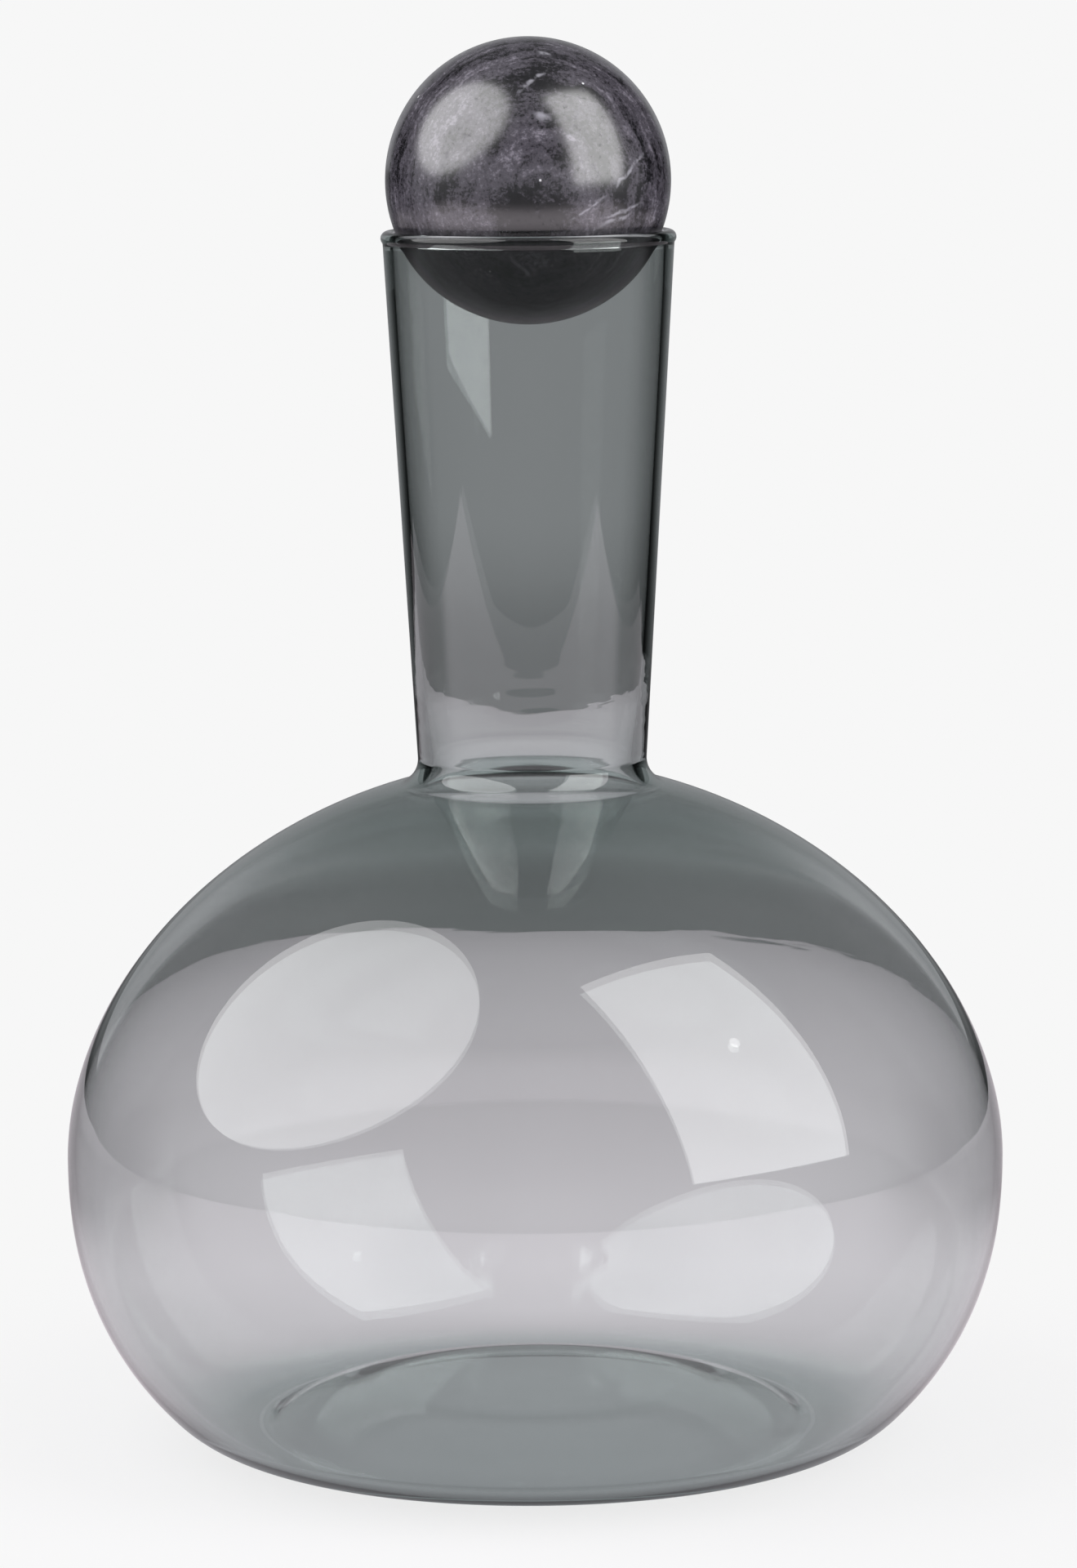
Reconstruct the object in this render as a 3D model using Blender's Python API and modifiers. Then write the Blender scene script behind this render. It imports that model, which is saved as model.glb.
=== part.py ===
"""Smoked glass carafe closed by a loose marble ball.

A squat blown bulb carries a tall neck that widens towards its mouth and ends in a rounded lip.
The bottom of the bulb is pushed up into a punt, so the carafe stands on a flat ring.
The ball rests on the inner side of the lip by its own weight and lifts straight out.

Metres, +Z up. The origin is the middle of the ring that the carafe stands on.
"""

import math

import bpy

# Ball and its seat
BALL_DIAMETER = 0.055
SEAT_RISE = 0.0119  # middle of the ball above the middle of the lip
SEAT_CLEARANCE = 0.0003  # between the ball and the lip

# Lip and neck
LIP_RADIUS = 0.0016  # the lip is a round bead of glass
LIP_PROUD = 0.0004  # how far the bead stands out from the neck on each side
NECK_LENGTH = 0.1009  # from the bulb's crown to the middle of the lip
NECK_FOOT_RADIUS = 0.0222  # outer radius at the level of the crown
NECK_FILLET = 0.005  # rounding where the neck flows into the bulb

# Bulb: both halves are full ellipses, where a fullness of 2 is a true ellipse and more is squarer
BULB_RADIUS = 0.0915
WIDEST_HEIGHT = 0.057
CROWN_RISE = 0.0764  # from the widest ring up to the crown
CROWN_FULLNESS = 1.875
BELLY_CUT = 0.0163  # what the foot takes off the lower half
BELLY_FULLNESS = 2.3

# Foot and punt
HEEL_RADIUS = 0.0244
FOOT_WIDTH = 0.005  # flat ring that the carafe stands on
PUNT_RISE = 0.0105

# Thickness of the glass
NECK_WALL = 0.0019
BELLY_WALL = 0.0015
HEEL_WALL = 0.0028
FOOT_WALL = 0.005
PUNT_WALL = 0.004

# Facets
TURN_STEPS = 64
LIP_STEPS = 8
FILLET_STEPS = 4
CROWN_STEPS = 10
BELLY_STEPS = 7
HEEL_STEPS = 5
PUNT_STEPS = 8
BALL_SEGMENTS = 48
BALL_RINGS = 24

# What follows from the sizes above
CROWN_HEIGHT = WIDEST_HEIGHT + CROWN_RISE
LIP_HEIGHT = CROWN_HEIGHT + NECK_LENGTH
SEAT_REACH = BALL_DIAMETER / 2 + SEAT_CLEARANCE + LIP_RADIUS
LIP_RING_RADIUS = math.sqrt(SEAT_REACH**2 - SEAT_RISE**2)
BALL_HEIGHT = LIP_HEIGHT + SEAT_RISE
MOUTH_HALF_WALL = LIP_RADIUS - LIP_PROUD
MOUTH_RADIUS = LIP_RING_RADIUS + MOUTH_HALF_WALL
NECK_TAPER = math.atan2(MOUTH_RADIUS - NECK_FOOT_RADIUS, NECK_LENGTH)


def clear_scene():
    for old in list(bpy.data.objects):
        bpy.data.objects.remove(old, do_unlink=True)


def new_collection(name):
    collection = bpy.data.collections.new(name)
    bpy.context.scene.collection.children.link(collection)
    return collection


def new_material(name, colour, roughness, transmission):
    material = bpy.data.materials.new(name)
    material.use_nodes = True
    shader = material.node_tree.nodes["Principled BSDF"]
    shader.inputs["Base Color"].default_value = (*colour, 1)
    shader.inputs["Roughness"].default_value = roughness
    shader.inputs["Metallic"].default_value = 0
    shader.inputs["Transmission Weight"].default_value = transmission
    return material


def smoked_glass():
    return new_material("smoked_glass", (0.20, 0.24, 0.235), 0.02, 1.0)


def polished_marble():
    return new_material("polished_marble", (0.075, 0.070, 0.080), 0.22, 0.0)


def crown_curve(turn):
    """Point on the upper half of the bulb, from the widest ring at 0 to the crown at a quarter turn."""
    power = 2 / CROWN_FULLNESS
    radius = BULB_RADIUS * math.cos(turn) ** power
    height = WIDEST_HEIGHT + CROWN_RISE * math.sin(turn) ** power
    return radius, height


def belly_curve(turn):
    """Point on the lower half of the bulb, from the widest ring at 0 down to a quarter turn."""
    power = 2 / BELLY_FULLNESS
    radius = BULB_RADIUS * math.cos(turn) ** power
    height = WIDEST_HEIGHT - (WIDEST_HEIGHT + BELLY_CUT) * math.sin(turn) ** power
    return radius, height


def beside(curve, turn, distance):
    """Point at a distance from the curve, on the right of its direction of travel."""
    step = 1e-5
    r0, z0 = curve(turn - step)
    r1, z1 = curve(turn + step)
    length = math.hypot(r1 - r0, z1 - z0)
    radius, height = curve(turn)
    return radius + distance * (z1 - z0) / length, height - distance * (r1 - r0) / length


def off_the_neck(radius, height):
    """Distance of a point from the neck's outer face."""
    face = MOUTH_RADIUS - (LIP_HEIGHT - height) * math.tan(NECK_TAPER)
    return (radius - face) * math.cos(NECK_TAPER)


def off_the_ground(radius, height):
    return height


def rolled_in(curve, rounding, off_the_face):
    """Where a circle of this rounding touches the curve and a straight face: turn and centre."""
    low, high = 0.2, 1.5
    for _ in range(40):
        turn = (low + high) / 2
        centre = beside(curve, turn, rounding)
        if off_the_face(*centre) > rounding:
            low = turn
        else:
            high = turn
    return turn, centre


def arc(centre, radius, start, end, steps):
    """Points along an arc, both ends included."""
    points = []
    for k in range(steps + 1):
        angle = start + (end - start) * k / steps
        points.append((centre[0] + radius * math.cos(angle), centre[1] + radius * math.sin(angle)))
    return points


def direction(start, end):
    return math.atan2(end[1] - start[1], end[0] - start[0])


def outer_wall(heel_centre, heel_turn):
    """Outer face from just under the lip down to the foot."""
    fillet_turn, fillet_centre = rolled_in(crown_curve, NECK_FILLET, off_the_neck)
    to_bulb = direction(fillet_centre, crown_curve(fillet_turn)) % math.tau
    points = [(MOUTH_RADIUS, LIP_HEIGHT)]
    points += arc(fillet_centre, NECK_FILLET, math.pi - NECK_TAPER, to_bulb, FILLET_STEPS)
    for k in range(1, CROWN_STEPS + 1):
        points.append(crown_curve(fillet_turn * (1 - k / CROWN_STEPS)))
    for k in range(1, BELLY_STEPS):
        points.append(belly_curve(heel_turn * k / BELLY_STEPS))
    to_belly = direction(heel_centre, belly_curve(heel_turn))
    return points + arc(heel_centre, HEEL_RADIUS, to_belly, -math.pi / 2, HEEL_STEPS)


def wall_at(height):
    """Thickness of the glass at a height: it thins from the mouth to the belly and thickens below."""
    stations = [
        (0, FOOT_WALL),
        (HEEL_RADIUS / 2, HEEL_WALL),
        (WIDEST_HEIGHT, BELLY_WALL),
        (CROWN_HEIGHT, NECK_WALL),
        (LIP_HEIGHT, 2 * MOUTH_HALF_WALL),
    ]
    for (low, low_wall), (high, high_wall) in zip(stations, stations[1:]):
        if height <= high:
            share = (height - low) / (high - low)
            return low_wall + (high_wall - low_wall) * share
    return high_wall


def inner_wall(outer):
    """Inner face, one point for each outer one, set back square to the wall by its thickness."""
    points = []
    for k, (radius, height) in enumerate(outer):
        before = outer[max(k - 1, 0)]
        after = outer[min(k + 1, len(outer) - 1)]
        along = direction(before, after)
        wall = wall_at(height)
        points.append((radius + wall * math.sin(along), height - wall * math.cos(along)))
    foot = outer[-1]
    points[0] = (LIP_RING_RADIUS - MOUTH_HALF_WALL, LIP_HEIGHT)
    points[-1] = (foot[0], foot[1] + FOOT_WALL)
    return points


def dome(edge_radius, edge_height, top_height):
    """Curve of a punt from its edge, exclusive, to its middle on the axis."""
    points = []
    for k in range(1, PUNT_STEPS + 1):
        radius = edge_radius * (1 - k / PUNT_STEPS)
        share = (1 + math.cos(math.pi * radius / edge_radius)) / 2
        points.append((radius, edge_height + (top_height - edge_height) * share))
    return points


def lip():
    """Bead round the mouth, from where it leaves the inner wall over the top to the outer wall."""
    under = math.acos(MOUTH_HALF_WALL / LIP_RADIUS)
    return arc((LIP_RING_RADIUS, LIP_HEIGHT), LIP_RADIUS, math.pi + under, -under, LIP_STEPS)


def turned(name, outline, material, collection):
    """Solid of revolution about the Z axis."""
    mesh = bpy.data.meshes.new(name)
    edges = [(k, k + 1) for k in range(len(outline) - 1)]
    mesh.from_pydata([(radius, 0, height) for radius, height in outline], edges, [])
    mesh.materials.append(material)
    solid = bpy.data.objects.new(name, mesh)
    collection.objects.link(solid)
    screw = solid.modifiers.new("turn", "SCREW")
    screw.axis = "Z"
    screw.angle = math.tau
    screw.steps = TURN_STEPS
    screw.render_steps = TURN_STEPS
    screw.use_merge_vertices = True
    screw.merge_threshold = 0.0001
    screw.use_smooth_shade = True
    return solid


def glass_vessel(collection):
    """Bulb, punted foot, neck and lip: one gather of glass, open at the mouth."""
    heel_turn, heel_centre = rolled_in(belly_curve, HEEL_RADIUS, off_the_ground)
    outer = outer_wall(heel_centre, heel_turn)
    inner = inner_wall(outer)
    foot_radius = heel_centre[0]
    inner_punt = dome(foot_radius, FOOT_WALL, PUNT_RISE + PUNT_WALL)
    foot_edge = [(foot_radius - FOOT_WIDTH, 0)]
    outer_punt = dome(foot_radius - FOOT_WIDTH, 0, PUNT_RISE)
    outline = inner_punt[::-1] + inner[:0:-1] + lip() + outer[1:] + foot_edge + outer_punt
    return turned("glass_vessel", outline, smoked_glass(), collection)


def ball_stopper(collection):
    """Solid marble ball, its middle on the axis that it lifts along."""
    bpy.ops.mesh.primitive_uv_sphere_add(
        segments=BALL_SEGMENTS,
        ring_count=BALL_RINGS,
        radius=BALL_DIAMETER / 2,
        location=(0, 0, BALL_HEIGHT),
    )
    ball = bpy.context.object
    ball.name = "ball_stopper"
    ball.data.name = "ball_stopper"
    ball.data.materials.append(polished_marble())
    ball.data.shade_smooth()
    for holder in list(ball.users_collection):
        holder.objects.unlink(ball)
    collection.objects.link(ball)
    return ball


clear_scene()
carafe = new_collection("carafe")
glass_vessel(carafe)
ball_stopper(carafe)
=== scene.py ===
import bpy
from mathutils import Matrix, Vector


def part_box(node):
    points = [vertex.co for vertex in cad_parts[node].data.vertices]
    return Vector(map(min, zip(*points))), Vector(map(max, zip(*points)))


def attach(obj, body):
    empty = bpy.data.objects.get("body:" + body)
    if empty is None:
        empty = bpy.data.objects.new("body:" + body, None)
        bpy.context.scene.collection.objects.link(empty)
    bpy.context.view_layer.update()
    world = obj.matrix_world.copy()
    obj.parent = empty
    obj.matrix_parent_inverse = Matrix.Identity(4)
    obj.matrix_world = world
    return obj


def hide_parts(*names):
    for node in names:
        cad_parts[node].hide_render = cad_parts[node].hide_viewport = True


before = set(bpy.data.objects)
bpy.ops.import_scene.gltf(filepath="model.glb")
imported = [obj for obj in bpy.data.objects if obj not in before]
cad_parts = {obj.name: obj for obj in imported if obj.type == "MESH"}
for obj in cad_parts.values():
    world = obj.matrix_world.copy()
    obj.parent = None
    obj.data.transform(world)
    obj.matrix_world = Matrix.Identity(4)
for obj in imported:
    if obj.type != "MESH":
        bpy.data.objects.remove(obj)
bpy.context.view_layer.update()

import math

import bpy
from mathutils import Matrix, Vector

# The carafe is one gather of smoked glass, blown into a squat bulb, drawn up into a neck that
# widens towards the mouth, and fire-polished to a round lip. The bottom is pushed up into a punt,
# which leaves a flat ring to stand on. The glass is thinnest round the belly.
vessel_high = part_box("glass_vessel")[1]

LIP_RADIUS = 0.0014
LIP_PROUD = 0.0004
LIP_FILLET = 0.0005
LIP_HEIGHT = 0.23528
MOUTH_RADIUS = 0.028084
NECK_FOOT_RADIUS = 0.0222
NECK_FILLET = 0.005
BULB_RADIUS = vessel_high.x
WIDEST_HEIGHT = 0.057
CROWN_HEIGHT = 0.1334
CROWN_FULLNESS = 1.875
BELLY_CUT = 0.0163
BELLY_FULLNESS = 2.3
HEEL_RADIUS = 0.0244

# Each height on the vessel, with the thickness of the wall there.
WALL = [
    (0, 0.0022),
    (0.006, 0.0020),
    (0.02, 0.0018),
    (0.057, 0.0015),
    (0.11, 0.0018),
    (0.126, 0.0024),
    (0.1334, 0.0028),
    (0.1375, 0.0026),
    (0.1405, 0.0024),
    (0.1435, 0.00219),
    (0.147, 0.0020),
    (0.1535, 0.00185),
    (0.1595, 0.00178),
    (0.166, 0.00173),
    (0.195, 0.00168),
    (0.2235, 0.00175),
    (0.2353, 0.0020),
]

# Each radius on the bottom, with the heights of its under side and its upper side.
PUNT = [
    (0, 0.0078, 0.01),
    (0.003, 0.0078, 0.01),
    (0.012, 0.0078, 0.01),
    (0.022, 0.0077, 0.0099),
    (0.028, 0.0075, 0.0097),
    (0.032, 0.0071, 0.0093),
    (0.036, 0.0063, 0.0086),
    (0.04, 0.0053, 0.0077),
    (0.045, 0.0038, 0.0062),
    (0.048, 0.0026, 0.005),
    (0.0505, 0.0013, 0.0037),
    (0.0525, 0.0003, 0.0027),
    (0.054, 0, 0.00225),
    (0.06, 0, 0.0022),
]
UNDER_SIDE = 1
UPPER_SIDE = 2

TURN_STEPS = 160
NECK_POINTS = 90
NECK_CROWDING = 1.2
FILLET_POINTS = 12
CROWN_POINTS = 44
BELLY_POINTS = 40
HEEL_POINTS = 24
PUNT_POINTS = 60
LIP_POINTS = 16
LIP_FILLET_POINTS = 5
FIRST_PLANE_SIZE = 0.001
MERGE_DISTANCE = 0.00001
TURN_NUDGE = 0.00001
TOUCH_RANGE = (0.2, 1.5)
TOUCH_HALVINGS = 40

NECK_TAPER = math.atan2(MOUTH_RADIUS - NECK_FOOT_RADIUS, LIP_HEIGHT - CROWN_HEIGHT)
LIP_RING_RADIUS = MOUTH_RADIUS - LIP_RADIUS + LIP_PROUD
LIP_ASIDE = LIP_RADIUS - LIP_PROUD + LIP_FILLET
LIP_DROP = math.sqrt((LIP_RADIUS + LIP_FILLET) ** 2 - LIP_ASIDE**2)


def crown(turn):
    """Upper half of the bulb, from its widest ring at 0 up to the axis at a quarter turn."""
    power = 2 / CROWN_FULLNESS
    rise = CROWN_HEIGHT - WIDEST_HEIGHT
    return BULB_RADIUS * math.cos(turn) ** power, WIDEST_HEIGHT + rise * math.sin(turn) ** power


def belly(turn):
    """Lower half of the bulb, from its widest ring at 0 down to the axis at a quarter turn."""
    power = 2 / BELLY_FULLNESS
    drop = WIDEST_HEIGHT + BELLY_CUT
    return BULB_RADIUS * math.cos(turn) ** power, WIDEST_HEIGHT - drop * math.sin(turn) ** power


def set_off(curve, turn, distance):
    """Point beside a curve, on the right of the way it runs."""
    r0, z0 = curve(turn - TURN_NUDGE)
    r1, z1 = curve(turn + TURN_NUDGE)
    length = math.hypot(r1 - r0, z1 - z0)
    radius, height = curve(turn)
    return radius + distance * (z1 - z0) / length, height - distance * (r1 - r0) / length


def past_neck(radius, height):
    """How far a point lies outside the neck's straight side."""
    face = MOUTH_RADIUS - (LIP_HEIGHT - height) * math.tan(NECK_TAPER)
    return (radius - face) * math.cos(NECK_TAPER)


def past_floor(radius, height):
    """How far a point lies above the floor."""
    return height


def rolled(curve, rounding, past_face):
    """Turn at which a ball of this rounding touches both the curve and the face, and its middle."""
    low, high = TOUCH_RANGE
    for _ in range(TOUCH_HALVINGS):
        turn = (low + high) / 2
        middle = set_off(curve, turn, rounding)
        if past_face(*middle) > rounding:
            low = turn
        else:
            high = turn
    return turn, middle


def arc(middle, radius, start, end, count):
    """Points along an arc, both ends included."""
    spots = []
    for k in range(count + 1):
        angle = start + (end - start) * k / count
        spots.append((middle[0] + radius * math.cos(angle), middle[1] + radius * math.sin(angle)))
    return spots


def heading(start, end):
    return math.atan2(end[1] - start[1], end[0] - start[0])


def smooth_at(places, spot, column=1):
    """Value at a spot, on a smooth curve through the places where it is known."""
    last = len(places) - 1
    slopes = []
    for k in range(last + 1):
        before, after = places[max(k - 1, 0)], places[min(k + 1, last)]
        slopes.append((after[column] - before[column]) / (after[0] - before[0]))
    for k in range(1, last + 1):
        if spot <= places[k][0]:
            break
    start, end = places[k - 1], places[k]
    span = end[0] - start[0]
    u = min(max((spot - start[0]) / span, 0), 1)
    value = start[column] * (1 + 2 * u) * (1 - u) ** 2 + end[column] * (3 - 2 * u) * u**2
    return value + span * (slopes[k - 1] * u * (1 - u) ** 2 - slopes[k] * (1 - u) * u**2)


def outer_face():
    """Outer face from under the lip down to the foot."""
    fillet_turn, fillet_middle = rolled(crown, NECK_FILLET, past_neck)
    heel_turn, heel_middle = rolled(belly, HEEL_RADIUS, past_floor)
    to_bulb = heading(fillet_middle, crown(fillet_turn)) % math.tau
    fillet = arc(fillet_middle, NECK_FILLET, math.pi - NECK_TAPER, to_bulb, FILLET_POINTS)
    top_height = LIP_HEIGHT - LIP_DROP
    spots = []
    for k in range(NECK_POINTS):
        share = (k / NECK_POINTS) ** NECK_CROWDING
        radius = MOUTH_RADIUS + (fillet[0][0] - MOUTH_RADIUS) * share
        spots.append((radius, top_height + (fillet[0][1] - top_height) * share))
    spots += fillet
    spots += [crown(fillet_turn * (1 - k / CROWN_POINTS)) for k in range(1, CROWN_POINTS + 1)]
    spots += [belly(heel_turn * k / BELLY_POINTS) for k in range(1, BELLY_POINTS)]
    to_belly = heading(heel_middle, belly(heel_turn))
    spots += arc(heel_middle, HEEL_RADIUS, to_belly, -math.pi / 2, HEEL_POINTS)
    return spots


def inner_face(outer):
    """Inner face, set back square to the outer one by the thickness of the wall."""
    spots = []
    for k, (radius, height) in enumerate(outer):
        along = heading(outer[max(k - 1, 0)], outer[min(k + 1, len(outer) - 1)])
        wall = smooth_at(WALL, height)
        spots.append((radius + wall * math.sin(along), height - wall * math.cos(along)))
    spots[0] = (LIP_RING_RADIUS - LIP_ASIDE + LIP_FILLET, LIP_HEIGHT - LIP_DROP)
    spots[-1] = (outer[-1][0], smooth_at(PUNT, outer[-1][0], UPPER_SIDE))
    return spots


def punt(edge_radius, side):
    """One side of the pushed-up bottom, from near its edge to its middle on the axis."""
    radii = [edge_radius * (1 - k / PUNT_POINTS) for k in range(1, PUNT_POINTS + 1)]
    return [(radius, max(smooth_at(PUNT, radius, side), 0)) for radius in radii]


def lip_round():
    """Lip from the top of the inner face over to the top of the outer face, with its two fillets."""
    under = math.atan2(LIP_DROP, LIP_ASIDE)
    fillet_height = LIP_HEIGHT - LIP_DROP
    inside = (LIP_RING_RADIUS - LIP_ASIDE, fillet_height)
    outside = (LIP_RING_RADIUS + LIP_ASIDE, fillet_height)
    spots = arc(inside, LIP_FILLET, 0, under, LIP_FILLET_POINTS)
    spots += arc((LIP_RING_RADIUS, LIP_HEIGHT), LIP_RADIUS, math.pi + under, -under, LIP_POINTS)[1:-1]
    return spots + arc(outside, LIP_FILLET, math.pi - under, math.pi, LIP_FILLET_POINTS)


def deselect_all():
    bpy.ops.object.select_all(action="DESELECT")


outer = outer_face()
inner = inner_face(outer)
foot_radius = outer[-1][0]
outline = punt(foot_radius, UPPER_SIDE)[::-1] + inner[:0:-1]
outline += lip_round() + outer[1:] + punt(foot_radius, UNDER_SIDE)

deselect_all()
bpy.ops.mesh.primitive_plane_add(size=FIRST_PLANE_SIZE, location=(outline[0][0], 0, outline[0][1]))
vessel = bpy.context.object
vessel.name = "smoked_vessel"
bpy.ops.object.transform_apply(location=True, rotation=True, scale=True)
bpy.ops.object.mode_set(mode="EDIT")
bpy.ops.mesh.select_all(action="SELECT")
bpy.ops.mesh.merge(type="CENTER")
for here, there in zip(outline, outline[1:]):
    step = (there[0] - here[0], 0, there[1] - here[1])
    bpy.ops.mesh.extrude_vertices_move(TRANSFORM_OT_translate={"value": step})
bpy.ops.mesh.select_all(action="SELECT")
bpy.ops.mesh.spin(steps=TURN_STEPS, angle=math.tau, center=(0, 0, 0), axis=(0, 0, 1))
bpy.ops.mesh.select_all(action="SELECT")
bpy.ops.mesh.remove_doubles(threshold=MERGE_DISTANCE)
bpy.ops.mesh.normals_make_consistent(inside=False)
bpy.ops.object.mode_set(mode="OBJECT")
bpy.ops.object.shade_smooth()

GLASS_BEND = 1.5
SMOKE_COLOUR = (0.25, 0.42, 0.38, 1)
SMOKE_DENSITY = 100
CORD_SCALE = (18, 18, 5)
CORD_SPREAD = (0.3, 0.7)
CORD_SHADE = 0.975
SHOULDER_LOW = (0.106, 0.126)
SHOULDER_HIGH = (0.125, 0.1335)
SHOULDER_PAINTED_SHADE = (0.66, 0.7, 0.69, 1)
GREASE_SCALE = 60
GREASE_SPREAD = (0.6, 0.8)
GREASE_ROUGHNESS = 0.012
JACK_SCALE = (38, 38, 230)
JACK_LOW = (0.139, 0.142)
JACK_HIGH = (0.158, 0.148)
JACK_DEPTH = 0.00007


def add_node(tree, kind, inputs=(), **settings):
    """New node with its settings, each input set to a value or joined to a socket."""
    node = tree.nodes.new(kind)
    for name, value in settings.items():
        setattr(node, name, value)
    for name, value in dict(inputs).items():
        if isinstance(value, bpy.types.NodeSocket):
            tree.links.new(value, node.inputs[name])
        else:
            node.inputs[name].default_value = value
    return node


def maths(tree, operation, first, second=0.0):
    return add_node(tree, "ShaderNodeMath", {0: first, 1: second}, operation=operation).outputs[0]


def product(tree, first, *others):
    for other in others:
        first = maths(tree, "MULTIPLY", first, other)
    return first


def ramp(tree, value, start, end, low=0.0, high=1.0):
    """Smooth change from low to high while the value goes from start to end."""
    ends = {"From Min": start, "From Max": end, "To Min": low, "To Max": high}
    node = add_node(tree, "ShaderNodeMapRange", {"Value": value, **ends}, interpolation_type="SMOOTHSTEP")
    return node.outputs["Result"]


def split(tree, vector):
    return add_node(tree, "ShaderNodeSeparateXYZ", {"Vector": vector}).outputs


def stretched(tree, vector, scale):
    return add_node(tree, "ShaderNodeMapping", {"Vector": vector, "Scale": scale}).outputs["Vector"]


def noise(tree, vector, scale, detail=3.0, roughness=0.5):
    inputs = {"Vector": vector, "Scale": scale, "Detail": detail, "Roughness": roughness}
    return add_node(tree, "ShaderNodeTexNoise", inputs)


def blend(tree, share, under, over, **settings):
    node = add_node(tree, "ShaderNodeMix", {0: share, 6: under, 7: over}, data_type="RGBA", **settings)
    return node.outputs[2]


smoked_glass = bpy.data.materials.new("smoked_glass_finish")
smoked_glass.use_nodes = True
tree = smoked_glass.node_tree
glass_shader = tree.nodes["Principled BSDF"]
glass_shader.inputs["Metallic"].default_value = 0
glass_shader.inputs["IOR"].default_value = GLASS_BEND
glass_shader.inputs["Transmission Weight"].default_value = 1
spot = add_node(tree, "ShaderNodeTexCoord").outputs["Object"]
height = split(tree, spot)["Z"]

# Faint cords run through the glass, and a painted shade darkens the glass round the shoulder under the
# neck.
cords = noise(tree, stretched(tree, spot, CORD_SCALE), 1, 2).outputs["Fac"]
shade = ramp(tree, cords, *CORD_SPREAD, CORD_SHADE, 1)
shoulder = product(tree, ramp(tree, height, *SHOULDER_LOW), ramp(tree, height, *SHOULDER_HIGH, 1, 0))
shade = blend(tree, shoulder, shade, SHOULDER_PAINTED_SHADE)
tree.links.new(shade, glass_shader.inputs["Base Color"])

# Handling leaves a thin film of grease in patches.
grease = noise(tree, spot, GREASE_SCALE, 5).outputs["Fac"]
tree.links.new(ramp(tree, grease, *GREASE_SPREAD, 0, GREASE_ROUGHNESS), glass_shader.inputs["Roughness"])

# The jacks that necked the glass in left shallow ripples above the shoulder.
jacks = noise(tree, stretched(tree, spot, JACK_SCALE), 1, 1).outputs["Fac"]
worked = product(tree, ramp(tree, height, *JACK_LOW), ramp(tree, height, *JACK_HIGH))
ripple = product(tree, maths(tree, "SUBTRACT", jacks, 0.5), worked)
ripple = add_node(tree, "ShaderNodeBump", {"Height": ripple, "Strength": 1, "Distance": JACK_DEPTH})
tree.links.new(ripple.outputs["Normal"], glass_shader.inputs["Normal"])

smoke = add_node(tree, "ShaderNodeVolumeAbsorption", {"Color": SMOKE_COLOUR, "Density": SMOKE_DENSITY})
tree.links.new(smoke.outputs["Volume"], tree.nodes["Material Output"].inputs["Volume"])
vessel.data.materials.append(smoked_glass)

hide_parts("glass_vessel")
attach(vessel, "vessel")

# The stopper is a loose ball turned from dark marble and polished to a soft shine. It rests on the
# inner side of the lip by its own weight, so nothing fastens it and it lifts straight out. Its
# under side has no wax, and painted shade darkens its colour there.
ball_low, ball_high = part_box("ball_stopper")
BALL_RADIUS = (ball_high.z - ball_low.z) / 2
BALL_MIDDLE = (0, 0, (ball_high.z + ball_low.z) / 2)
BALL_CUTS = 47

deselect_all()
bpy.ops.mesh.primitive_cube_add(size=2 * BALL_RADIUS)
ball = bpy.context.object
ball.name = "marble_ball"
bpy.ops.object.mode_set(mode="EDIT")
bpy.ops.mesh.select_all(action="SELECT")
bpy.ops.mesh.subdivide(number_cuts=BALL_CUTS)
bpy.ops.object.mode_set(mode="OBJECT")
rounding = ball.modifiers.new("round", "CAST")
rounding.cast_type = "SPHERE"
rounding.factor = 1
rounding.use_radius_as_size = False
rounding.size = BALL_RADIUS
bpy.ops.object.modifier_apply(modifier="round")
bpy.ops.transform.translate(value=BALL_MIDDLE)
bpy.ops.object.transform_apply(location=True, rotation=True, scale=True)
bpy.ops.object.shade_smooth()

STONE_BEND = 1.2
WAX_BEND = 1.92
WAX_ROUGHNESS = 0.2

DARK_BED = (0.005, 0.0046, 0.0062, 1)
GREY_BED = (0.069, 0.063, 0.077, 1)
LIGHT_BED = (0.24, 0.222, 0.262, 1)
VEIN_WHITE = (0.5, 0.49, 0.55, 1)
CRYSTAL_WHITE = (0.85, 0.85, 0.88, 1)
DARK_TO_GREY = (0.4, 0.52)
GREY_TO_LIGHT = (0.52, 0.68)

BED_TURN = (math.radians(87), math.radians(5), 0)
BED_SCALE = (40, 40, 520)
BED_SHARE = 0.42
THREAD_SCALE = (150, 150, 1500)
THREAD_SHARE = 0.18
CLOUD_SCALE = 120
CLOUD_SHARE = 0.4
GRAIN_SCALE = 1300
GRAIN_SHARE = 0.38
FOLD_SCALE = 30
FOLD_REACH = 0.009
RUFFLE_SCALE = 170
RUFFLE_REACH = 0.0028
DRIFT_SCALE = 260
DRIFT_REACH = 0.0022

VEIN_SCALE = 26
VEIN_BEND_SCALE = 60
VEIN_BEND_REACH = 0.02
VEIN_WIDTH = 0.016
VEIN_SHARE = 0.5
VEIN_PATCH_SCALE = 48
VEIN_PATCH_SPREAD = (0.52, 0.66)
VEIN_BREAK_SCALE = 700
VEIN_BREAK_SPREAD = (0.3, 0.6)
STREAK_TIP = 0.3
SPECK_SCALE = 330
SPECK_EDGE = (0.12, 0.05)
SPECK_CHOICE = (0.95, 0.96)

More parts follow.
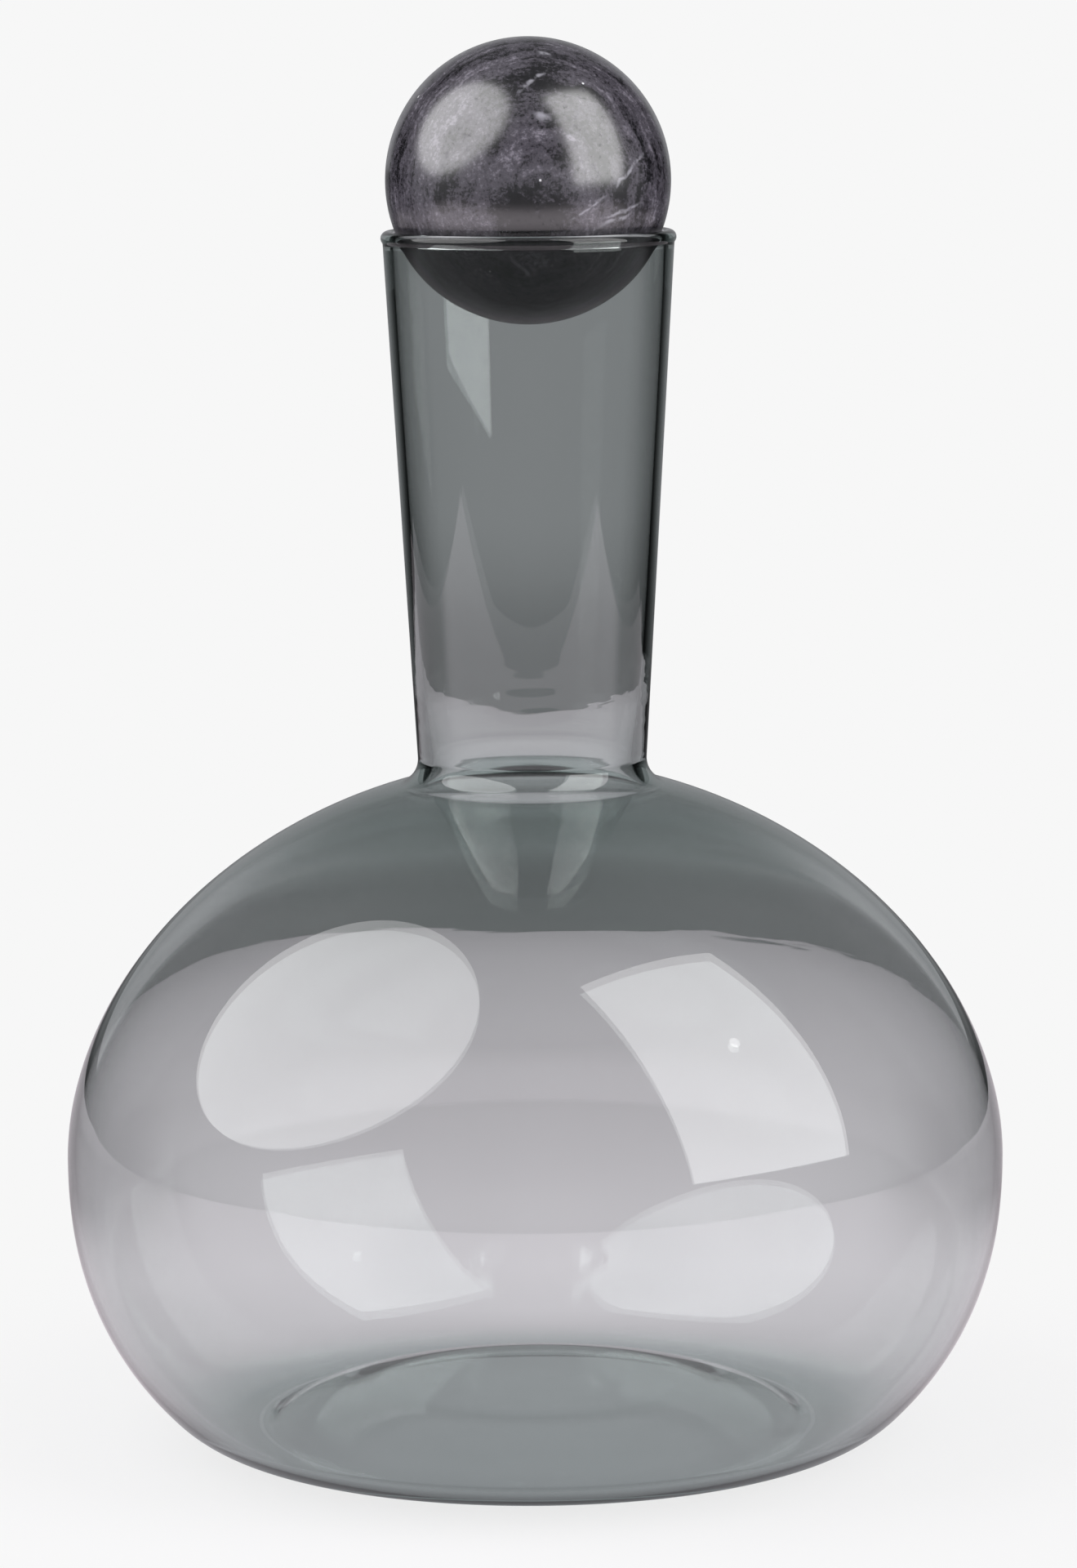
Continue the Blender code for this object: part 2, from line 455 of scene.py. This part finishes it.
SEAT_FADE = (-0.0112, -0.0062)
UNDER_PAINTED_SHADE = 0.17
UNDER_ROUGHNESS = 0.15
POLISH_SPREAD = (0.35, 0.7)
POLISH_ROUGHNESS = (0.2, 0.27)
VEIN_ROUGHNESS = 0.12
PIT_SCALE = 900
PIT_SPREAD = (0.55, 0.75)
PIT_WEAR = 0.35
SCRATCH_SCALE = (180, 2600, 2600)
SCRATCH_SPREAD = (0.72, 0.78)
SCRATCH_WEAR = 0.3
SCRATCH_DEPTH = 0.5
RELIEF_DEPTH = 0.000018

# Each light streak: its middle on the ball, the way across it, half its width and half its length.
STREAKS = [
    ((0.0012, -0.0192, 0.0196), (-0.59, 0, 0.81), 0.0006, 0.0052),
    ((0.0032, -0.0125, 0.0242), (0.5, 0, 0.86), 0.0007, 0.0020),
    ((0.0192, -0.0195, 0.0025), (-0.74, 0, 0.67), 0.0005, 0.0068),
    ((0.0115, -0.0246, -0.0042), (-0.58, 0, 0.82), 0.0004, 0.0052),
    ((0.0181, -0.0200, -0.0050), (-0.35, 0, 0.94), 0.0005, 0.0062),
    ((0.0165, -0.0210, -0.0068), (-0.35, 0, 0.94), 0.0006, 0.0055),
    ((0.0028, -0.0239, 0.0128), (0.3, 0, 0.95), 0.0012, 0.0022),
    ((-0.0012, -0.0225, -0.0158), (0.8, 0, 0.6), 0.0007, 0.0048),
]

# Each patch of the stone that is lighter or darker than the rest: its middle, its reach and its tone.
PATCHES = [
    ((-0.0035, -0.0261, 0.0075), 0.012, 0.055),
    ((-0.0006, -0.0272, -0.0040), 0.009, -0.11),
    ((-0.0139, -0.0237, -0.0012), 0.0075, -0.08),
    ((0.0020, -0.0155, 0.0226), 0.009, -0.06),
    ((0.0150, -0.0226, 0.0040), 0.008, -0.05),
]


def place_maths(tree, operation, place, **others):
    """Vector maths on a place, with the other place or the scale by name."""
    names = {"other": 1, "scale": "Scale"}
    inputs = {0: place, **{names[name]: value for name, value in others.items()}}
    return add_node(tree, "ShaderNodeVectorMath", inputs, operation=operation).outputs


def shifted(tree, place, scale, detail, reach):
    """Place moved by up to half the reach, by the colour of a noise."""
    drift = noise(tree, place, scale, detail).outputs["Color"]
    drift = place_maths(tree, "SUBTRACT", drift, other=(0.5, 0.5, 0.5))[0]
    drift = place_maths(tree, "SCALE", drift, scale=reach)[0]
    return place_maths(tree, "ADD", place, other=drift)[0]


def streak(tree, place, drifted, middle, across, half_width, half_length):
    """1 along a short ragged line on the ball, 0 away from it."""
    aside = place_maths(tree, "SUBTRACT", drifted, other=middle)[0]
    across = tuple(Vector(across).normalized())
    aside = place_maths(tree, "DOT_PRODUCT", aside, other=across)["Value"]
    line = ramp(tree, maths(tree, "ABSOLUTE", aside), half_width, 0)
    away = place_maths(tree, "DISTANCE", place, other=middle)["Value"]
    return product(tree, line, ramp(tree, away, half_length, half_length * STREAK_TIP))


marble = bpy.data.materials.new("polished_marble_finish")
marble.use_nodes = True
tree = marble.node_tree
marble_shader = tree.nodes["Principled BSDF"]
marble_shader.inputs["IOR"].default_value = STONE_BEND
marble_shader.inputs["Coat IOR"].default_value = WAX_BEND
marble_shader.inputs["Coat Roughness"].default_value = WAX_ROUGHNESS
spot = add_node(tree, "ShaderNodeTexCoord").outputs["Object"]
centred = {"Vector": spot, "Location": tuple(-x for x in BALL_MIDDLE)}
centred = add_node(tree, "ShaderNodeMapping", centred).outputs["Vector"]
drifted = shifted(tree, centred, DRIFT_SCALE, 4, DRIFT_REACH)
stone = add_node(tree, "ShaderNodeMapping", {"Vector": centred, "Rotation": BED_TURN}).outputs["Vector"]

# Folded beds, with clouds, threads and grain in them, from nearly black to light grey.
folded = shifted(tree, stone, FOLD_SCALE, 2, FOLD_REACH)
folded = shifted(tree, folded, RUFFLE_SCALE, 3, RUFFLE_REACH)
beds = noise(tree, stretched(tree, folded, BED_SCALE), 1, 4, 0.65).outputs["Fac"]
threads = noise(tree, stretched(tree, folded, THREAD_SCALE), 1, 3, 0.6).outputs["Fac"]
clouds = noise(tree, folded, CLOUD_SCALE, 5, 0.65).outputs["Fac"]
grain = noise(tree, stone, GRAIN_SCALE, 3, 0.75).outputs["Fac"]
tone = maths(tree, "ADD", product(tree, beds, BED_SHARE), product(tree, clouds, CLOUD_SHARE))
tone = maths(tree, "ADD", tone, product(tree, threads, THREAD_SHARE))
tone = maths(tree, "ADD", tone, product(tree, maths(tree, "SUBTRACT", grain, 0.5), GRAIN_SHARE))
for middle, reach, shift in PATCHES:
    away = place_maths(tree, "DISTANCE", drifted, other=middle)["Value"]
    tone = maths(tree, "ADD", tone, ramp(tree, away, reach, 0, 0, shift))
colour = blend(tree, ramp(tree, tone, *DARK_TO_GREY), DARK_BED, GREY_BED)
colour = blend(tree, ramp(tree, tone, *GREY_TO_LIGHT), colour, LIGHT_BED)

# White veins and streaks, broken up along their length, and a few crystals.
bent = shifted(tree, stone, VEIN_BEND_SCALE, 4, VEIN_BEND_REACH)
vein = noise(tree, bent, VEIN_SCALE, 1).outputs["Fac"]
vein = maths(tree, "ABSOLUTE", maths(tree, "SUBTRACT", vein, 0.5))
patchy = ramp(tree, noise(tree, stone, VEIN_PATCH_SCALE, 3).outputs["Fac"], *VEIN_PATCH_SPREAD)
vein = product(tree, ramp(tree, vein, VEIN_WIDTH, 0), patchy)
for light_streak in STREAKS:
    vein = maths(tree, "MAXIMUM", vein, streak(tree, centred, drifted, *light_streak))
broken = ramp(tree, noise(tree, stone, VEIN_BREAK_SCALE, 2).outputs["Fac"], *VEIN_BREAK_SPREAD)
vein = product(tree, vein, broken)
colour = blend(tree, product(tree, vein, VEIN_SHARE), colour, VEIN_WHITE)
specks = add_node(tree, "ShaderNodeTexVoronoi", {"Vector": stone, "Scale": SPECK_SCALE})
chosen = ramp(tree, split(tree, specks.outputs["Color"])[0], *SPECK_CHOICE)
crystal = product(tree, ramp(tree, specks.outputs["Distance"], *SPECK_EDGE), chosen)
colour = blend(tree, crystal, colour, CRYSTAL_WHITE)

# The polish covers what stands out of the mouth and ends softly at the seat; painted shade darkens the
# colour below the seat.
drop = split(tree, centred)["Z"]
seat = ramp(tree, drop, *SEAT_FADE)
colour = place_maths(tree, "SCALE", colour, scale=ramp(tree, drop, *SEAT_FADE, UNDER_PAINTED_SHADE, 1))[0]
tree.links.new(colour, marble_shader.inputs["Base Color"])
polish = ramp(tree, grain, *POLISH_SPREAD, *POLISH_ROUGHNESS)
polish = maths(tree, "ADD", polish, product(tree, vein, VEIN_ROUGHNESS))
polish = maths(tree, "ADD", polish, ramp(tree, seat, 1, 0, 0, UNDER_ROUGHNESS))
tree.links.new(polish, marble_shader.inputs["Roughness"])
pits = noise(tree, stone, PIT_SCALE, 3, 0.6).outputs["Fac"]
scratches = noise(tree, stretched(tree, stone, SCRATCH_SCALE), 1, 1).outputs["Fac"]
scratches = ramp(tree, scratches, *SCRATCH_SPREAD)
worn = ramp(tree, pits, *PIT_SPREAD, 0, PIT_WEAR)
worn = maths(tree, "ADD", product(tree, scratches, SCRATCH_WEAR), worn)
wax = product(tree, seat, maths(tree, "SUBTRACT", 1, worn))
tree.links.new(wax, marble_shader.inputs["Coat Weight"])
relief = maths(tree, "SUBTRACT", pits, product(tree, scratches, SCRATCH_DEPTH))
relief = add_node(tree, "ShaderNodeBump", {"Height": relief, "Strength": 1, "Distance": RELIEF_DEPTH})
tree.links.new(relief.outputs["Normal"], marble_shader.inputs["Normal"])
ball.data.materials.append(marble)

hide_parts("ball_stopper")
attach(ball, "stopper")

# The carafe stands on a plain pale table top in a dim studio. The camera sees one pale tone with
# the carafe's soft shadow on it, and the glass and the marble mirror and bend what stands round
# them: the bright table, its far edge, a grey backdrop and the dark gaps beside it.
FLOOR_SIZE = 60
TABLE_LEFT = -0.9
TABLE_RIGHT = 0.86
TABLE_FRONT = -0.64
TABLE_BACK = 0.76
TABLE_SKEW = 0.2
TABLE_BOW = 0.24
TABLE_EDGE = 0.012
TORN_SCALE = 14
TORN_REACH = 0.18
TABLE_COLOUR = (0.86, 0.84, 0.88, 1)
TABLE_TINT = (1.115, 1.03, 1.1, 1)
GLASS_SHADOW_TINT = (0.97, 0.99, 1.04, 1)
GLASS_SHADOW_REACH = (0.058, 0.085)
CAST_START = (0.2, 0.8)
CAST_END = (4, 1.5)
CAST_NEAR = (0.15, 0.28)
CAST_FAR = (0.85, 0.6)
CAST_DEPTH = 0.42
STUDIO_TINT = (0.99, 1, 1.035, 1)
STUDIO_TONE = 0.27
GAP_REACH = (0, 0.76)
GAP_TONE = 0.0054
SIDE_REACH = (1.7, 5)
SIDE_TONE = 0.27
BEHIND = 0.02
LEAST_DEPTH = 0.001
FLOOR_DUSK = (1.1, 1.9)
FLOOR_DUSK_TONE = 0.58
PALE_COLOUR = (0.93, 0.93, 0.93, 1)
SHADOW_REACH = (0.2, 0.06)
SHADOW_SHARE = 0.16

# Painted light on the table by distance from the carafe's axis, behind the carafe and in front of it,
# with painted shadow under the carafe and a dark painted ring round its foot.
BACK_GLOW = [
    (0, 0.43),
    (0.04, 0.4),
    (0.05, 0.36),
    (0.07, 0.52),
    (0.085, 0.62),
    (0.1, 0.67),
    (0.15, 0.7),
    (0.22, 0.66),
    (0.3, 0.59),
    (0.4, 0.53),
    (0.5, 0.5),
    (0.65, 0.43),
    (0.8, 0.32),
]
FRONT_GLOW = [
    (0, 0.4),
    (0.055, 0.34),
    (0.06, 0.12),
    (0.065, 0.36),
    (0.09, 0.52),
    (0.12, 0.75),
    (0.17, 1),
    (0.25, 1.1),
    (0.5, 1),
    (1, 0.95),
]
FRONT_START = (0.08, -0.12)

deselect_all()
bpy.ops.mesh.primitive_plane_add(size=FLOOR_SIZE, location=(0, 0, 0))
floor = bpy.context.object
floor.name = "table_top"
table = bpy.data.materials.new("table_top_finish")
table.use_nodes = True
tree = table.node_tree
tree.nodes.clear()


def stepped(tree, value, steps):
    """Value that runs straight from one step to the next, each step a place within 1 and a strength."""
    node = add_node(tree, "ShaderNodeValToRGB", {"Fac": value})
    stops = node.color_ramp.elements
    for k, (spot, strength) in enumerate(steps):
        stop = stops[k] if k < 2 else stops.new(spot)
        stop.position = spot
        stop.color = (strength, strength, strength, 1)
    return node.outputs["Color"]


def tinted(tree, colour, tint):
    return blend(tree, 1, colour, tint, blend_type="MULTIPLY")


def seen_by(tree, *rays):
    """1 for a ray of one of these kinds, else 0."""
    paths = add_node(tree, "ShaderNodeLightPath")
    share = paths.outputs[rays[0]]
    for ray in rays[1:]:
        share = maths(tree, "MAXIMUM", share, paths.outputs[ray])
    return share


def mix_shaders(tree, share, first, second):
    inputs = {"Fac": share, 1: first.outputs[0], 2: second.outputs[0]}
    return add_node(tree, "ShaderNodeMixShader", inputs)


def how_aside(tree, east, north):
    """How far a place lies to either side, for each metre that it lies behind the carafe."""
    depth = maths(tree, "MAXIMUM", north, LEAST_DEPTH)
    return maths(tree, "DIVIDE", maths(tree, "ABSOLUTE", east), depth)


def studio_tone(tree, axes):
    """Tone of the dim studio by direction: grey ahead, dark gaps beside the backdrop, grey again."""
    aside = how_aside(tree, axes["X"], axes["Y"])
    ahead = ramp(tree, aside, *GAP_REACH, STUDIO_TONE, GAP_TONE)
    past_gap = ramp(tree, aside, *SIDE_REACH, 0, SIDE_TONE)
    behind = ramp(tree, axes["Y"], BEHIND, 0, 0, SIDE_TONE)
    return maths(tree, "MAXIMUM", maths(tree, "MAXIMUM", ahead, past_gap), behind)


spot = add_node(tree, "ShaderNodeTexCoord").outputs["Object"]
axes = split(tree, spot)
east, north = axes["X"], axes["Y"]
far_off = place_maths(tree, "LENGTH", spot)["Value"]

# Outline of the table top, cut a little ragged at the back.
torn = maths(tree, "SUBTRACT", noise(tree, spot, TORN_SCALE, 4).outputs["Fac"], 0.5)
back = maths(tree, "ADD", north, product(tree, east, TABLE_SKEW))
back = maths(tree, "ADD", back, product(tree, torn, TORN_REACH))
front = maths(tree, "SUBTRACT", north, product(tree, east, east, TABLE_BOW))
on_table = product(
    tree,
    ramp(tree, back, TABLE_BACK + TABLE_EDGE, TABLE_BACK),
    ramp(tree, front, TABLE_FRONT - TABLE_EDGE, TABLE_FRONT),
    ramp(tree, east, TABLE_LEFT - TABLE_EDGE, TABLE_LEFT),
    ramp(tree, east, TABLE_RIGHT + TABLE_EDGE, TABLE_RIGHT),
)

# Painted light on the table, with a painted shadow that the carafe casts aside and the painted
# tint of light through its glass close by.
in_front = ramp(tree, north, *FRONT_START)
glow = blend(tree, in_front, stepped(tree, far_off, BACK_GLOW), stepped(tree, far_off, FRONT_GLOW))
aside = how_aside(tree, east, north)
cast = product(
    tree,
    ramp(tree, aside, *CAST_START),
    ramp(tree, aside, *CAST_END),
    ramp(tree, north, 0, BEHIND),
    ramp(tree, far_off, *CAST_NEAR),
    ramp(tree, far_off, *CAST_FAR),
)
lit = maths(tree, "SUBTRACT", 1, product(tree, cast, CAST_DEPTH))
glow = tinted(tree, glow, blend(tree, ramp(tree, far_off, *GLASS_SHADOW_REACH), GLASS_SHADOW_TINT, TABLE_TINT))
glow = place_maths(tree, "SCALE", glow, scale=lit)[0]

# The dim floor past the table.
dusk = product(tree, studio_tone(tree, axes), ramp(tree, far_off, *FLOOR_DUSK, FLOOR_DUSK_TONE, 1))
mirrored = blend(tree, on_table, tinted(tree, dusk, STUDIO_TINT), glow)
mirrored = add_node(tree, "ShaderNodeEmission", {"Color": mirrored})
cloth = add_node(tree, "ShaderNodeBsdfDiffuse", {"Color": TABLE_COLOUR})
pale = add_node(tree, "ShaderNodeEmission", {"Color": PALE_COLOUR})
pale = mix_shaders(tree, ramp(tree, far_off, *SHADOW_REACH, 0, SHADOW_SHARE), pale, cloth)
top = mix_shaders(tree, seen_by(tree, "Is Glossy Ray", "Is Transmission Ray"), cloth, mirrored)
top = mix_shaders(tree, seen_by(tree, "Is Camera Ray"), top, pale)
add_node(tree, "ShaderNodeOutputMaterial", {"Surface": top.outputs[0]})
floor.data.materials.append(table)

# Round the table stand a grey backdrop, lighter below than above, and a dark room with a little
# light from its ceiling. A round and a square soft box light the carafe from both sides, with the
# lamp in the square one showing faintly through its cloth.
BACKDROP_LEFT = -0.56
BACKDROP_RIGHT = 0.46
BACKDROP_SOFTNESS = 0.05
BACKDROP_TOP = 1.2
BACKDROP_TOP_SOFTNESS = 0.3
BACKDROP_FADE = (0.2, 0.62)
BACKDROP_TONE = 0.33
BACKDROP_TOP_TONE = 0.12
ROOM_FADE = (0.1, 0.5)
CEILING_RISE = (0.6, 0.95)
CEILING_TONE = 0.15
ROOM_LIGHT = (0.3, 0.3, 0.31, 1)

world = bpy.data.worlds.new("studio")
world.use_nodes = True
bpy.context.scene.world = world
tree = world.node_tree
tree.nodes.clear()
axes = split(tree, add_node(tree, "ShaderNodeTexCoord").outputs["Generated"])
depth = maths(tree, "MAXIMUM", axes["Y"], LEAST_DEPTH)
aside = maths(tree, "DIVIDE", axes["X"], depth)
above = maths(tree, "DIVIDE", axes["Z"], depth)
on_backdrop = product(
    tree,
    ramp(tree, aside, BACKDROP_LEFT - BACKDROP_SOFTNESS, BACKDROP_LEFT),
    ramp(tree, aside, BACKDROP_RIGHT + BACKDROP_SOFTNESS, BACKDROP_RIGHT),
    ramp(tree, above, BACKDROP_TOP + BACKDROP_TOP_SOFTNESS, BACKDROP_TOP),
    ramp(tree, axes["Y"], 0, BEHIND),
)
backdrop = ramp(tree, above, *BACKDROP_FADE, BACKDROP_TONE, BACKDROP_TOP_TONE)
room = product(tree, studio_tone(tree, axes), ramp(tree, axes["Z"], *ROOM_FADE, 1, 0))
room = maths(tree, "MAXIMUM", room, ramp(tree, axes["Z"], *CEILING_RISE, 0, CEILING_TONE))
tone = tinted(tree, blend(tree, on_backdrop, room, backdrop), STUDIO_TINT)
around = add_node(tree, "ShaderNodeBackground", {"Color": tone})
soft = add_node(tree, "ShaderNodeBackground", {"Color": ROOM_LIGHT})
pale = add_node(tree, "ShaderNodeBackground", {"Color": PALE_COLOUR})
sky = mix_shaders(tree, seen_by(tree, "Is Glossy Ray", "Is Transmission Ray"), soft, around)
sky = mix_shaders(tree, seen_by(tree, "Is Camera Ray"), sky, pale)
add_node(tree, "ShaderNodeOutputWorld", {"Surface": sky.outputs[0]})

# Each lamp: shape, middle, the way its back points, the way its width runs, size and brightness.
LAMPS = {
    "round_softbox": (
        "ELLIPSE", (-0.629, -0.307, 0.644), (-0.537, 0.164, 0.828), (1, 0, 0), (1.09, 1.09), 2.7
    ),
    "square_softbox": (
        "RECTANGLE", (0.707, -0.310, 0.854), (0.62, -0.69, 0.37), (0.74, 0.67, 0.02), (0.826, 1.34), 3.3
    ),
    "lamp_behind_cloth": (
        "ELLIPSE", (0.69, -0.30, 0.80), (0.62, -0.28, 0.73), (1, 0, 0), (0.045, 0.045), 4
    ),
}

for name, (shape, place, away, across, size, radiance) in LAMPS.items():
    away = Vector(away).normalized()
    across = Vector(across)
    across = (across - away * across.dot(away)).normalized()
    turn = Matrix((across, away.cross(across), away)).transposed()
    deselect_all()
    bpy.ops.object.light_add(type="AREA", location=place, rotation=turn.to_euler())
    lamp = bpy.context.object
    lamp.name = name
    lamp.data.shape = shape
    lamp.data.size, lamp.data.size_y = size
    area = size[0] * size[1] * (math.pi / 4 if shape == "ELLIPSE" else 1)
    lamp.data.energy = radiance * math.pi * area
    lamp.visible_camera = False

# The camera stands a little over a metre away, slightly above the carafe, tipped down and turned
# by a fraction of a degree, as the photograph was taken.
CAMERA_PLACE = (0.00117, -1.2026, 0.2944)
CAMERA_PITCH = math.radians(7.826)
CAMERA_ROLL = math.radians(-0.415)
CAMERA_LENS = 143.17
CAMERA_SENSOR = 36
CAMERA_REACH = 100

camera_turn = Matrix.Rotation(math.pi / 2 - CAMERA_PITCH, 3, "X") @ Matrix.Rotation(CAMERA_ROLL, 3, "Z")
deselect_all()
bpy.ops.object.camera_add(location=CAMERA_PLACE, rotation=camera_turn.to_euler())
camera = bpy.context.object
camera.name = "camera"
camera.data.lens = CAMERA_LENS
camera.data.sensor_width = CAMERA_SENSOR
camera.data.clip_end = CAMERA_REACH
bpy.context.scene.camera = camera
bpy.context.scene.view_settings.view_transform = "Standard"
